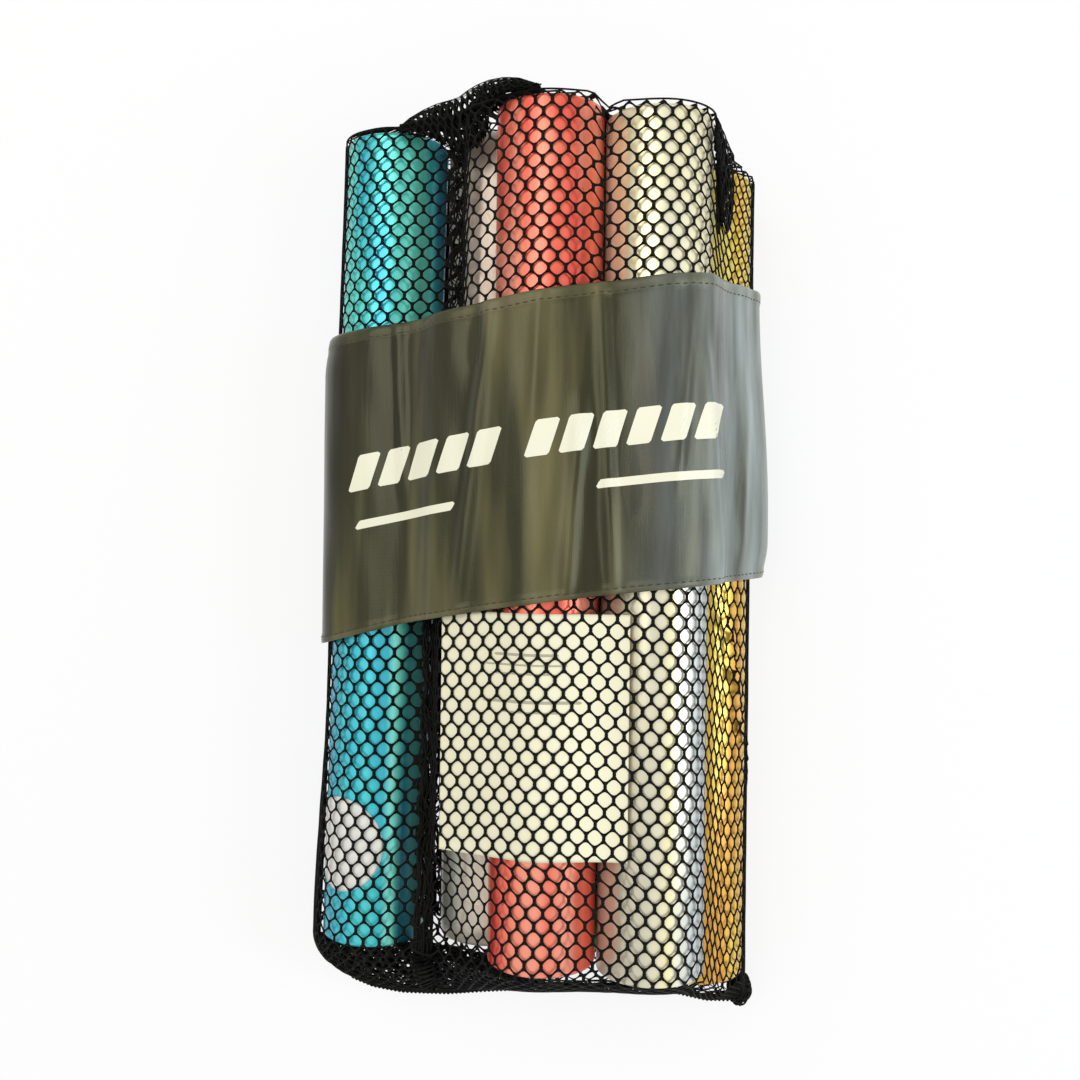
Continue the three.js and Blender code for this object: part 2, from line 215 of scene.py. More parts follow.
def cloth_material(name, dark, mid, pale, cool_reflection):
    """Shiny woven cloth in soft streaks of painted highlight and shade; towards the right end it turns to the
    cool color of a painted reflection
    """
    look = Look(bpy.data.materials.new(name))
    fine, lengthwise = look.place(), look.place(1.0, 0.13, 1.0)
    # Lengthwise streaks of painted highlight and shade
    painted_light_streaks = look.noise(lengthwise, 46.0)
    warm = look.ramp(painted_light_streaks, (0.37, 0.5, 0.66), map(srgb, (dark, mid, pale)))
    # Towards the right end, in blotches, the painted cool reflection
    rightward = look.spread(look.add("ShaderNodeSeparateXYZ", {0: fine}, "X"), 0.0, 1.0, 0.022, 0.072)
    blotches = look.spread(look.noise(lengthwise, 90.0, 4.0), 0.1, 1.0)
    color = look.mix(look.math("MULTIPLY", rightward, blotches), warm, (*srgb(cool_reflection), 1.0))
    look.feed(look.shader, {"Base Color": color, "Roughness": look.spread(painted_light_streaks, 0.2, 0.34),
                            "Specular IOR Level": 0.42, "Specular Tint": (0.82, 0.8, 0.56, 1.0)})
    threads = {"Vector": fine, "Scale": 620.0, "Distortion": 0.6}
    weave = look.math("MULTIPLY", *(look.add("ShaderNodeTexWave", threads, "Fac", bands_direction=axis)
                                    for axis in "XY"))
    woven = look.bump(weave, 0.00005, 0.4)
    look.bump(look.noise(lengthwise, 150.0, 4.0), 0.0006, 0.4, Normal=woven)
    return look.data


# Every metal's streaks are painted reflections
METALS = {
    # The teal's stops across paint a bright highlight, then shade on its right flank
    "teal": anodised("teal", (34, 148, 190), (58, 200, 212), (104, 234, 214), across=(-78.8, -0.021, [
        (0.0, 56, 160, 196), (0.3, 66, 204, 226), (0.62, 58, 200, 208), (0.68, 150, 255, 232),
        (0.74, 136, 255, 224), (0.8, 26, 112, 136), (1.0, 16, 66, 90)])),
    "grey": anodised("grey", (192, 174, 156), (220, 208, 190), (238, 230, 212)),
    "green": anodised("green", (58, 150, 86), (84, 184, 108), (120, 206, 130)),
    "gold": anodised("gold", (250, 184, 74), (255, 214, 86), (255, 230, 118)),
    "red": anodised("red", (232, 74, 62), (248, 112, 86), (252, 156, 130)),
    # The silver's stops across paint shade on its left side, a warm reflection, then cool reflections on its
    # right
    "silver": anodised("silver", (186, 184, 162), (235, 231, 205), (246, 236, 190), metallic=0.35, across=(
        20.8, 0.0, [(0.0, 214, 204, 180), (0.4, 208, 204, 178), (0.52, 232, 226, 196), (0.61, 255, 246, 186),
                    (0.72, 240, 240, 224), (0.84, 216, 226, 228), (1.0, 196, 208, 216)])),
}
NET = plain_material("net_thread", srgb((7, 7, 6)), srgb((16, 15, 13)), 60.0, (1600.0, 3.0, 0.6),
                     (0.55, 0.85), (0.00015, 0.6), 0.12)
# The streak colors of the band and of the hem are painted highlight and shade, and their last color is the
# cool reflection painted towards their right end
BAND = cloth_material("band_cloth", (20, 19, 9), (42, 41, 23), (100, 95, 62), (152, 163, 163))
HEM = cloth_material("band_hem_cloth", (44, 42, 25), (68, 66, 43), (108, 102, 72), (146, 156, 152))
STITCH = paper_material("stitch_thread", (46, 40, 26), 2400.0)
PRINT = paper_material("print_ink", (240, 238, 214), 1400.0, (0.35, 0.5))
FAINT_INK = paper_material("card_ink", (176, 172, 150), 1400.0)
CARD = paper_material("card_paper", (244, 240, 208), 1500.0)
STICKER = paper_material("sticker_vinyl", (246, 246, 238), 900.0, (0.3, 0.45))


# ---------------- mesh tools

def add_mesh(name, points, faces, material, smooth=True):
    """points in millimetres; faces as one array of equal rows, or a list"""
    mesh = bpy.data.meshes.new(name)
    mesh.from_pydata((np.asarray(points) * MM).tolist(), [], [list(map(int, f)) for f in faces])
    mesh.polygons.foreach_set("use_smooth", [smooth] * len(mesh.polygons))
    mesh.materials.append(material)
    mesh.update()
    return add_object(name, mesh)


def assign(piece, body, slot, *nodes):
    """The body that a piece rides on, its slot, which is not used, and the nodes that it stands for"""
    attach(piece, body)
    if nodes:
        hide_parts(*nodes)


def shares(count):
    return np.linspace(0, 1, count)


def wave_noise(seed, terms, low, high):
    """A smooth repeatable wobble of one number, about -1 to 1"""
    rng = np.random.RandomState(seed)
    rate = rng.uniform(low, high, terms)
    phase = rng.uniform(0, 2 * math.pi, terms)
    size = 1.0 / np.sqrt(rate)
    size /= size.sum()
    return lambda t: sum(s * np.sin(2 * math.pi * r * t + p)
                         for s, r, p in zip(size, rate, phase)) * 1.6


def smooth_step(low, high, value):
    t = np.clip((value - low) / (high - low), 0, 1)
    return t * t * (3 - 2 * t)


def unit(vectors):
    return vectors / np.linalg.norm(vectors, axis=-1, keepdims=True)


def direction(angle):
    return np.array([math.cos(angle), math.sin(angle)])


def way_along(points):
    """How far along a line each of its points lies"""
    return np.concatenate([[0], np.cumsum(np.linalg.norm(np.diff(points, axis=0), axis=1))])


def between(places, spots, points):
    """Reads a line at places, where its points lie at spots"""
    return np.stack([np.interp(places, spots, line) for line in np.transpose(points)], axis=-1)


def resample(points, count):
    """Evenly spaced points along an open line"""
    along = way_along(points)
    return between(np.linspace(0, along[-1], count), along, points)


def outward(points):
    """Directions away from an open section, at its points"""
    ahead = unit(np.gradient(points, axis=0))
    return np.stack([-ahead[:, 1], ahead[:, 0]], 1)


def cross_axes(route, up=(0.0, 0.0, 1.0)):
    """The two directions across a route, at each of its points"""
    ahead = unit(np.gradient(route, axis=0))
    side = unit(np.cross(ahead, up))
    return side, np.cross(side, ahead)


def add_bar(points, faces, route, side, over, radii, sides):
    """Adds a round bar with closed ends along a route, from its directions across and its radii"""
    base = len(points)
    for middle, a, b, radius in zip(route, side, over, radii):
        for s in range(sides):
            angle = 2 * math.pi * s / sides
            points.append(middle + radius * (a * math.cos(angle) + b * math.sin(angle)))
    for ring in range(base, len(points) - sides, sides):
        for s in range(sides):
            a, b = ring + s, ring + (s + 1) % sides
            faces.append((a, a + sides, b + sides, b))
    faces.append(tuple(range(base, base + sides)))
    faces.append(tuple(range(len(points) - 1, len(points) - 1 - sides, -1)))


def tube_along(name, route, radius, sides):
    """A round bar of the net's thread; radius may be one number or one for each point"""
    points, faces = [], []
    add_bar(points, faces, route, *cross_axes(route), np.broadcast_to(radius, len(route)), sides)
    return add_mesh(name, points, faces, NET)


def closed_faces(rows, cols):
    """Faces of a thin closed sheet whose points are a top grid, then a low grid"""
    i = np.arange(rows * cols).reshape(rows, cols)
    n, a = i.size, i[:-1, :-1].ravel()
    face = np.stack([a, a + 1, a + cols + 1, a + cols], 1)
    edges = [np.stack([p, q, q + n, p + n], 1) for p, q in (
        (i[0, :-1], i[0, 1:]), (i[-1, 1:], i[-1, :-1]), (i[1:, 0], i[:-1, 0]), (i[:-1, -1], i[1:, -1]))]
    return np.concatenate([face[:, ::-1], face + n, *edges])


def closed_sheet(name, upper_grid, lower_grid, material):
    points = np.concatenate([upper_grid.reshape(-1, 3), lower_grid.reshape(-1, 3)])
    return add_mesh(name, points, closed_faces(*upper_grid.shape[:2]), material)


def polar_mesh(name, place, rings, around, material):
    """A closed skin of rings between two poles; place gives a point by its ring and turn"""
    points, faces = [place(0, 0.0)], []
    for ring in range(1, rings):
        points += [place(ring, 2 * math.pi * j / around) for j in range(around)]
    points.append(place(rings, 0.0))
    end = len(points) - 1
    for j in range(around):
        n = (j + 1) % around
        faces += [(0, 1 + j, 1 + n), (end, end - around + n, end - around + j)]
        for a in range(1, end - around, around):
            faces.append((a + j, a + around + j, a + around + n, a + n))
    return add_mesh(name, points, faces, material)


# ---------------- batons

def on_baton(name, radius, angle, along):
    """The place at a radius and an angle round a baton's axis, and a way along it"""
    x, y, z, turn = BATONS[name]
    cos, sin = direction(turn)
    across, up = radius * direction(angle)
    return (x + across * cos - along * sin, y + across * sin + along * cos, z + up)


def axis_x(name, y):
    x, middle, _, turn = BATONS[name]
    return x - (y - middle) * math.tan(turn)


def baton(name, sides=112):
    meets = 2 * math.pi - math.acos((LIP_RADIUS - TUBE_WALL) / LIP_RADIUS)
    middle = np.array([TUBE_RADIUS - LIP_RADIUS, HALF_TUBE - LIP_RADIUS])
    lip = [tuple(middle + LIP_RADIUS * direction(a)) for a in np.linspace(0, meets, 17)]
    straight = HALF_TUBE - 8
    inner = [(TUBE_RADIUS - TUBE_WALL, l) for l in np.linspace(straight, -straight, 5)]
    outer = [(TUBE_RADIUS, l) for l in np.linspace(-straight, straight, 13)]
    profile = lip + inner + [(r, -l) for r, l in reversed(lip)] + outer
    points = [on_baton(name, r, 2 * math.pi * s / sides, l) for s in range(sides) for r, l in profile]
    index = np.arange(len(points)).reshape(sides, -1)
    along, around = np.roll(index, -1, 1), np.roll(index, -1, 0)
    faces = np.stack([index, along, np.roll(along, -1, 0), around], 2).reshape(-1, 4)
    piece = add_mesh("tube_%s" % name, points, faces, METALS[name])
    assign(piece, name, "%s_metal" % name, "baton_%s" % name)


for name in BATONS:
    baton(name)


# ---------------- wraps round the batons

def section(centres, radius, sags):
    """Points of a wrap from its left edge over the top to its right edge; sags are how it dips between the
    centres: depths, or functions of the share across"""
    centres = np.array(centres)
    ends = [math.atan2(dx, -dz) for dx, dz in np.diff(centres, axis=0)] + [0.0]
    points = []
    for i, (start, end) in enumerate(zip([math.pi] + ends, ends)):
        points += [centres[i] + radius * direction(angle) for angle in np.linspace(start, end, 30)]
        if i == len(sags):
            break
        for share in shares(30)[1:-1]:
            base = centres[i] * (1 - share) + centres[i + 1] * share
            if callable(sags[i]):
                points.append(base + radius * direction(end) - (0.0, sags[i](share)))
            else:
                points.append(base + (radius - sags[i] * math.sin(math.pi * share) ** 2) * direction(end))
    return np.array(points)


def under_section(left, right, radius):
    """The wrap's way back underneath, from its right edge to its left one"""
    left, right = np.array(left), np.array(right)

    def arc(centre, start, end):
        return [centre + radius * direction(angle) for angle in np.linspace(start, end, 26)]
    flat = [right + (left - right) * share - (0.0, radius) for share in shares(62)[1:-1]]
    return np.array(arc(right, 0, -math.pi / 2) + flat + arc(left, -math.pi / 2, -math.pi))


def folded(points, folds, count):
    """Lays flat folds into an open section, each (place across x, width, height), and returns count points.
    Places away from the folds keep their share of the way across"""
    along, normal = way_along(points), outward(points)
    out, spots, done = [], [], 0.0
    for x, width, height in sorted(folds):
        if width < 0.05:
            continue
        centre = np.interp(x, points[:, 0], along)
        a, b = centre - width / 2, centre + width / 2
        keep = [(s, 0.0) for s in along if done <= s < a - 2.0]
        loop = [(a - 1.5, 0.0), (a, 0.05), (centre, 0.1), (b, 0.18), (b + 0.12 * width, 0.34), (b, 0.5),
                (centre, 0.52), (a, 0.55), (a - 0.12 * width, 0.75), (a, 0.95), (centre, 1.0), (b, 0.95),
                (b + 1.2, 0.5), (b + 2.6, 0.12), (b + 4.0, 0.0)]
        out += keep + [(s, h * height) for s, h in loop]
        spots += [s for s, _ in keep] + list(np.linspace(a - 1.5, b + 4.0, len(loop)))
        done = b + 4.5
    rest = [s for s in along if s >= done]
    s, h = np.array(out + [(s, 0.0) for s in rest]).T
    shape = between(s, along, points) + between(s, along, normal) * h[:, None]
    return between(np.linspace(0, along[-1], count), spots + rest, shape)


class Surface:
    """A grid of points, rows by columns, that reads places and normals between them"""

    def __init__(self, grid):
        self.grid = np.asarray(grid, float)
        normal = np.cross(np.gradient(self.grid, axis=0), np.gradient(self.grid, axis=1))
        self.normal = normal / np.maximum(np.linalg.norm(normal, axis=2), 1e-9)[:, :, None]

    def at(self, across, down, height=0.0):
        """across and down are shares of the grid from 0 to 1"""
        rows, cols = self.grid.shape[:2]
        u, v = np.broadcast_arrays(np.clip(across, 0, 1) * (cols - 1), np.clip(down, 0, 1) * (rows - 1))
        i, j = np.minimum(u.astype(int), cols - 2), np.minimum(v.astype(int), rows - 2)
        fu, fv = (u - i)[:, None], (v - j)[:, None]

        def blend(a):
            return ((a[j, i] * (1 - fu) + a[j, i + 1] * fu) * (1 - fv)
                    + (a[j + 1, i] * (1 - fu) + a[j + 1, i + 1] * fu) * fv)
        normal = blend(self.normal)
        normal /= np.maximum(np.linalg.norm(normal, axis=1), 1e-9)[:, None]
        return blend(self.grid) + normal * np.broadcast_to(height, len(u))[:, None]

    def lengths(self, axis):
        """The lengths of the grid's columns (axis 0) or of its rows (axis 1)"""
        return np.linalg.norm(np.diff(self.grid, axis=axis), axis=2).sum(axis=axis)


# A cell of the net: half a knot's length, then how much of the cell is open at its tip, along its slanting
# side in two places, at the knot's end and at the knot
CELL = (0.17, 0.72, 0.85, 0.88, 0.81, 0.79)
TIGHT_CELL = (0.17, 0.60, 0.68, 0.70, 0.62, 0.60)


def net_mesh(name, surface, across, down, thread=NET_THREAD, cell=CELL, eased=False):
    """A knitted net on a surface: across cells wide and down cells long, with thin slanting threads and thick
    knots at the cells' sides. An eased net's pattern lies a little aslant"""
    rise, tip, upper_side, lower_side, knot_end, knot_middle = cell
    top = 1.0 - rise
    quarter = [(0.0, top, tip), (0.16, top + (rise - top) * 0.32, upper_side),
               (0.34, top + (rise - top) * 0.68, lower_side), (0.5, rise, knot_end)]
    right = quarter + [(0.5, 0.0, knot_middle)] + [(x, -y, k) for x, y, k in reversed(quarter)]
    ring_of = np.array(right + [(-x, y, k) for x, y, k in reversed(right[1:-1])])
    outline, shrink = ring_of[:, :2], ring_of[:, 2:]
    centre = [[(c + 0.5 * (r % 2), r)] for r in range(-1, down + 2) for c in range(-1, across + 2)]
    rim, hole = centre + outline, centre + outline * shrink
    low, high = np.zeros(2), np.array([across, down], float)
    seen = ((rim.max(axis=1) > low + 1e-6) & (rim.min(axis=1) < high - 1e-6)).all(axis=1)
    rim, hole = np.clip(rim[seen], low, high), np.clip(hole[seen], low, high)
    keys = np.round(rim.reshape(-1, 2) * 2000).astype(np.int64)
    unique, index = np.unique(keys[:, 0] * 10_000_000 + keys[:, 1], return_inverse=True)
    first = np.zeros(len(unique), int)
    first[index] = np.arange(len(index))
    places = rim.reshape(-1, 2)[first]
    index = index.reshape(rim.shape[:2])

    def on_net(p, height):
        u, v = p[:, 0] / across, p[:, 1] / down
        if eased:
            slant = 0.006 * np.sin(u * 9.0) + 0.016 * smooth_step(0.82, 0.98, u)
            v = v + slant * np.minimum(1, 4 * v) * np.minimum(1, 4 * (1 - v))
        return surface.at(u, v, height)
    points = np.concatenate([on_net(places, thread / 2), on_net(places, -thread / 2),
                             on_net(hole.reshape(-1, 2), 0.0)])
    n = len(places)
    holes = 2 * n + np.arange(index.size).reshape(index.shape)
    after, holes_after = np.roll(index, -1, 1), np.roll(holes, -1, 1)
    top_faces = np.stack([index, after, holes_after, holes], axis=2).reshape(-1, 4)
    low_faces = np.stack([index + n, holes, holes_after, after + n], axis=2).reshape(-1, 4)
    edges = np.stack([index, after], axis=2).reshape(-1, 2)
    edges = edges[edges[:, 0] != edges[:, 1]]
    codes = edges.min(axis=1) * n + edges.max(axis=1)
    _, where, times = np.unique(codes, return_index=True, return_counts=True)
    a, b = edges[where[times == 1]].T
    faces = np.concatenate([top_faces, low_faces, np.stack([a, a + n, b + n, b], 1)])
    cleaned = (list(dict.fromkeys(face)) for face in faces.tolist())
    return add_mesh(name, points, [face for face in cleaned if len(face) > 2], NET)


# ---------------- net bag

def left_centre(y):
    slack = 0.3 * smooth_step(140, 60, y) + 1.4 * smooth_step(-60, -150, y)
    return (axis_x("teal", y) - slack, NET_AXIS)


def front_centres(y):
    return [left_centre(y), *HIGH_CENTRES, RIGHT_CENTRE]


def valley(y):
    """How far a wrap dips between the teal and the red baton at y, as a function of the share across.
    It runs flat from the red baton to a steep drop, as over the card, and evenly below the card"""
    flat = smooth_step(-124, -106, y)
    deepest = 0.474 + 0.13 * smooth_step(0, 90, y)
    even = 10.5 + 1.2 * math.sin(y / 31)

    def dip(share):
        rise = smooth_step(deepest + 0.004, deepest + 0.085, share)
        held = 16.5 * smooth_step(0.05, deepest, share) * (1 - rise)
        return flat * held + (1 - flat) * even * math.sin(math.pi * share) ** 2
    return dip


def clear_of_batons(points, y):
    """Moves a row's points out of every baton"""
    for name, place in BATONS.items():
        centre = np.array([axis_x(name, y), place[2]])
        away = points - centre
        far = np.linalg.norm(away, axis=1)
        near = far < NET_CLEAR
        points[near] = centre + away[near] / far[near][:, None] * NET_CLEAR
    return points


def top_pleat_x(y):
    return -32.3 + 0.016 * (y - 100)


def low_pleat_x(y):
    return -40.7 + 0.012 * (y + 80)


def net_front_row(y):
    """One row of the front net across the batons at y, with the folds that lie in it"""
    points = section(front_centres(y), NET_RADIUS, [valley(y), 2.4, 1])
    points = clear_of_batons(resample(points, 700), y)
    top_pleat = smooth_step(50, 78, y)
    low_pleat = smooth_step(-10, -24, y)
    gold_pleat = smooth_step(-18, -30, y) * (1 - smooth_step(-74, -96, y))
    # The low pleat is the net's fold in the valley between the teal and grey batons; laid three layers deep,
    # it also stands in for the shade in that valley
    folds = [(top_pleat_x(y) - 0.6, 4.4 * top_pleat, 2.4 * top_pleat),
             (low_pleat_x(y) - 1.4, 4.6 * low_pleat, 2.6 * low_pleat),
             (67.0 - 0.17 * (y + 20), 2.6 * gold_pleat, 1.5 * gold_pleat)]
    return folded(points, folds, COLUMNS)


def net_back_row(y):
    return resample(under_section(left_centre(y), RIGHT_CENTRE, NET_RADIUS), BACK_COLUMNS)


def baton_ends(x, z, side):
    """How far the batons reach along Y at a place, at the mouth (side 1) or the bottom (side -1)"""
    reach = np.full(np.shape(x), 100.0)
    for bx, by, bz, turn in BATONS.values():
        away = np.hypot(x - bx - side * HALF_TUBE * math.sin(-turn), z - bz)
        reach = np.maximum(reach, HALF_TUBE + side * by - 40 * smooth_step(19, 24, away))
    return reach


def wall_reach(x, z, side):
    """Where the net's wall ends: just past the baton under it"""
    if side > 0:
        return np.interp(x, [-40, -24, -15, 15, 20.5, 25, 57, 58.8, 60.5, 62.5, 81],
                         [149.6, 150.6, 151.8, 151.8, 146.5, 148.9, 148.9, 148.5, 143, 138.5, 137.4])
    reach = np.interp(x, [-40, -22, -14, 14, 24, 60], [151.4, 150.6, 149.2, 149.2, 150.4, 150.8])
    lower = np.clip((65.3 - z) / 22, 0, 1) * np.clip((x - 20.5) / 19.6, 0, 1)
    return reach + lower * (163.7 - reach)


# The seam along the bag's bottom, left to right
SEAM_LINE = np.array([(-76, -165.8), (-71.5, -169.9), (-63.5, -172.9), (-52, -174.8), (-34, -175.5),
                      (-15, -174.4), (9, -172.9), (30, -172.7), (50, -173.6), (58, -175.4), (66, -176.9),
                      (79, -176.6)])


def seam_point(share):
    along = way_along(SEAM_LINE)
    x, y = between(share, along / along[-1], SEAM_LINE).T
    return np.stack([x, y, SEAM_Z + 0.7 * np.sin(x / 11)], 1)


def wall_rows(row_at, cells, y_from=None, y_to=None):
    """Rows of a wall; an end without a y follows the batons' ends"""
    places = np.linspace(WALL_END, -WALL_END - 12, 160)
    table = np.array([row_at(y) for y in places])
    first, last = table[0], table[-14]
    top = wall_reach(*first.T, 1) if y_from is None else y_from
    bottom = -wall_reach(*last.T, -1) if y_to is None else y_to
    column = np.arange(len(first))
    grid = []
    for t in shares(cells * ROWS_A_CELL + 1):
        y = top + (bottom - top) * t
        place = (places[0] - y) / (places[0] - places[-1]) * (len(places) - 1)
        place = np.clip(place, 0, len(places) - 1.001)
        i = place.astype(int)
        f = (place - i)[:, None]
        x, z = (table[i, column] * (1 - f) + table[i + 1, column] * f).T
        grid.append(np.stack([x, y, z], 1))
    return grid


def cap_rows(edge, cells, front):
    """Rows that close from a wall's last row onto the bottom seam, taut in front and slack behind"""
    along = np.concatenate([[0], np.cumsum(np.abs(np.diff(edge[:, 0])) + 0.12)])
    share = along / along[-1]
    way = seam_point(share if front else 1 - share) - edge
    rows = []
    for t in shares(cells * ROWS_A_CELL + 1)[1:]:
        turn = t * math.pi / 2
        drop = t if front else math.sin(turn)
        shut = t if front else 1 - math.cos(turn)
        x, y, z = (edge + way * (1 - math.cos(turn), 0.5 * drop + 0.5 * math.sin(turn), shut)).T
        rows.append(np.stack([x, np.minimum(y, -baton_ends(x, z, -1) - 0.5), z], 1))
    return rows


# The line onto which the mouth is drawn in
GATHER = np.array([(-54, 150.8, 40), (-40, 151.6, 43.5), (-31, 152, 48), (-24.5, 154, 57),
                   (-16, 155, 65), (-5, 154.2, 71)])


def gather_point(share):
    at = np.clip(share, 0, 1) * (len(GATHER) - 1)
    return between(at, np.arange(len(GATHER)), GATHER)


def mouth_rows(edge, cells, pleats, seed, side):
    """Rows from the gathering line out to the net's top edge, in pleats. side is 1 in front and -1 behind"""
    x0, y0, z0 = edge.T
    share = (x0 - x0.min()) / (x0.max() - x0.min())
    wobble = wave_noise(seed, 8, 2, 9)(share)
    draw = np.clip(share * 1.05 - 0.02 + 0.03 * np.sin(2 * math.pi * pleats * share) + 0.02 * wobble, 0, 1)
    dx, dy, dz = (gather_point(draw) + (0, 0, side * 0.9) - edge).T
    ripple = np.cos(2 * math.pi * pleats * share + 1.7 * wobble)
    sink = 24.0 * smooth_step(2, 30, x0) * smooth_step(80, 58, x0) if side > 0 else 0.0
    rows = []
    for t in shares(cells * ROWS_A_CELL + 1):
        inward = 1 - (1 - t) ** 1.15
        fold = ripple * 1.5 * math.sin(math.pi * min(1, t * 1.08)) * t
        x = x0 + dx * inward + 0.3 * fold
        y = y0 + dy * t ** 2.2 + 0.2 * fold
        z = z0 + dz * inward + 0.8 * fold * side - sink * math.sin(math.pi * t ** 0.8)
        rows.append(np.stack([x, np.maximum(y, baton_ends(x, z, 1) + 0.35), z], 1))
    return rows[:0:-1]


# Front net: an upper and a lower panel that meet under the label band
CAP_CELLS, LOWER_CELLS = 9, 50
upper_wall = wall_rows(net_front_row, 30, y_to=PANEL_JOIN)
upper = Surface(mouth_rows(upper_wall[0], 13, 15, 3, 1) + upper_wall)
net_upper = net_mesh("net_front_upper", upper, FRONT_CELLS, 43, eased=True)
lower_wall = wall_rows(net_front_row, LOWER_CELLS - CAP_CELLS, y_from=PANEL_JOIN)
lower = Surface(lower_wall + cap_rows(lower_wall[-1], CAP_CELLS, True))
net_lower = net_mesh("net_front_lower", lower, FRONT_CELLS, LOWER_CELLS, eased=True)

# Back net in one panel
back_wall = wall_rows(net_back_row, 72)
back = Surface(mouth_rows(back_wall[0], 12, 10, 5, -1) + back_wall + cap_rows(back_wall[-1], 7, False))
net_back = net_mesh("net_back_panel", back, BACK_CELLS, 91)


def patch(name, low_line, high_line, cells, seed, lift, ripple, push=(0, 0, 1), thread=0.5, places=120):
    """A layer of net between two lines, arched by lift along push and crumpled by ripple"""
    low_side, high_side = resample(low_line, places), resample(high_line, places)
    a = shares(places)
    one, two, three = (wave_noise(seed, 7, 1, 7), wave_noise(seed + 50, 7, 3, 14),
                       wave_noise(seed + 90, 5, 0.5, 3))
    rows = []
    for b in np.linspace(1, 0, 34):
        hump = math.sin(math.pi * b)
        wave = one(a + 0.35 * b) + 0.6 * two(a + 0.5 * b) * hump
        out = (lift[0] + lift[1] * hump * np.sin(math.pi * np.clip(a, 0.04, 0.96)) ** 0.6
               + ripple * wave * (0.3 + 0.7 * hump))
        aside = ripple * hump * np.stack([0.7 * three(a * 2 + b), 0.5 * three(a * 3 - b), 0 * a], 1)
        rows.append(low_side + (high_side - low_side) * b + out[:, None] * push + aside)
    return net_mesh(name, Surface(rows), *cells, thread, TIGHT_CELL)


def gathered(name, route, width, height, strands, seed, thread=0.38, steps=110, up=(0, 0, 1)):
    """Net drawn tight together: thin threads that wander through an oval round a route"""
    route = resample(route, steps)
    side, over = cross_axes(route, up)
    share = shares(steps)
    width, height = (np.interp(share, shares(len(v)), v) for v in (width, height))
    points, faces = [], []
    for k in range(strands):
        rng = np.random.RandomState(seed + 17 * k)
        turn = rng.uniform(0, 2 * math.pi) + 2.2 * wave_noise(seed + 3 * k, 5, 1, 5)(share)
        reach = 0.5 * np.sqrt(rng.uniform(0.25, 1))
        reach = reach * (0.8 + 0.25 * wave_noise(seed + 5 * k + 1, 6, 3, 12)(share))
        centre = (route + side * (width * reach * np.cos(turn))[:, None]
                  + over * (height * reach * np.sin(turn))[:, None])
        thick = thread * (0.85 + 0.3 * rng.rand())
        add_bar(points, faces, centre, side, over, [thick] * steps, 5)
    return add_mesh(name, points, faces, NET)


# Loose collar of the mouth: layers of net round a core of gathered threads
COLLAR_LOW = [
    (-54, 149.2, 43.5), (-48.6, 146.6, 45), (-41.5, 145.2, 47), (-36.4, 142, 48.5), (-31.6, 139, 49.5),
    (-24.8, 139.8, 53.5), (-20.8, 143.6, 58.5), (-20.6, 149.2, 62), (-19.4, 151.8, 66), (-16, 152.2, 71),
    (-11, 153, 73), (-3, 152.3, 75)]
COLLAR_HIGH = [
    (-54.4, 149.8, 42), (-50.5, 153, 43), (-45, 155.2, 46), (-40, 156.2, 49), (-35.5, 156.4, 52),
    (-31.5, 156.6, 55), (-28, 157.6, 58.5), (-24.5, 158.2, 62), (-20.5, 158.4, 65.5), (-15.5, 157.8, 69),
    (-10, 156.4, 72), (-2.6, 153.2, 74.6)]
collar = [patch("collar_layer_%d" % (i + 1), COLLAR_LOW, COLLAR_HIGH, (21 + 2 * i, 4 + i % 2), 11 + 7 * i,
                (-0.2 - 1.2 * i, 2.4 - 0.3 * i), 0.9, thread=0.52) for i in range(3)]
collar.append(gathered("collar_core", np.add(COLLAR_LOW, COLLAR_HIGH) / 2 - (0, 0, 1),
                       [1, 4, 6, 7, 9, 11, 11, 7, 3.5, 3, 2, 1],
                       [1, 3, 4, 4.5, 4.5, 4.5, 4.5, 4, 3, 2.5, 2, 1], 13, 301, 0.34))
hem_share = shares(60)
mouth_hem = tube_along("mouth_hem_roll", gather_point(hem_share),
                       1.2 + 0.25 * wave_noise(21, 7, 2, 9)(hem_share), 14)

# The yarn along which the front net bends over the batons' ends
net_bend = tube_along("net_front_bend", upper_wall[0][12:-40:6] + (0, 0.45, -0.2), 0.34, 8)


def on_front(surface, x_at, y_list, height):
    """Places on the front net, by their x and y"""
    places = []
    for y in y_list:
        row = surface.grid[np.abs(surface.grid[:, COLUMNS // 2, 1] - y).argmin()]
        places.append((x_at(y), y, row[np.abs(row[:, 0] - x_at(y)).argmin(), 2] + height))
    return places


# Drawn-up threads in the bag's valleys and at its shoulder
top_ridge = gathered("ridge_top", on_front(upper, top_pleat_x, np.linspace(141, 78, 12), 0.6),
                     [8.6, 7.8, 7.4, 7.4], [3, 2.6, 2.2, 2], 15, 401, 0.31)
# The low ridge follows the low pleat; its dense threads are partly the net drawn up there and partly a dark
# stand-in for the valley's shade
low_ridge_and_shade = gathered("ridge_low", on_front(lower, low_pleat_x, np.linspace(-20, -150, 18), 0.8),
                     [6, 6.6, 6.8, 6.8, 8], [2.4, 2.6, 2.6, 2.4, 3], 23, 431)
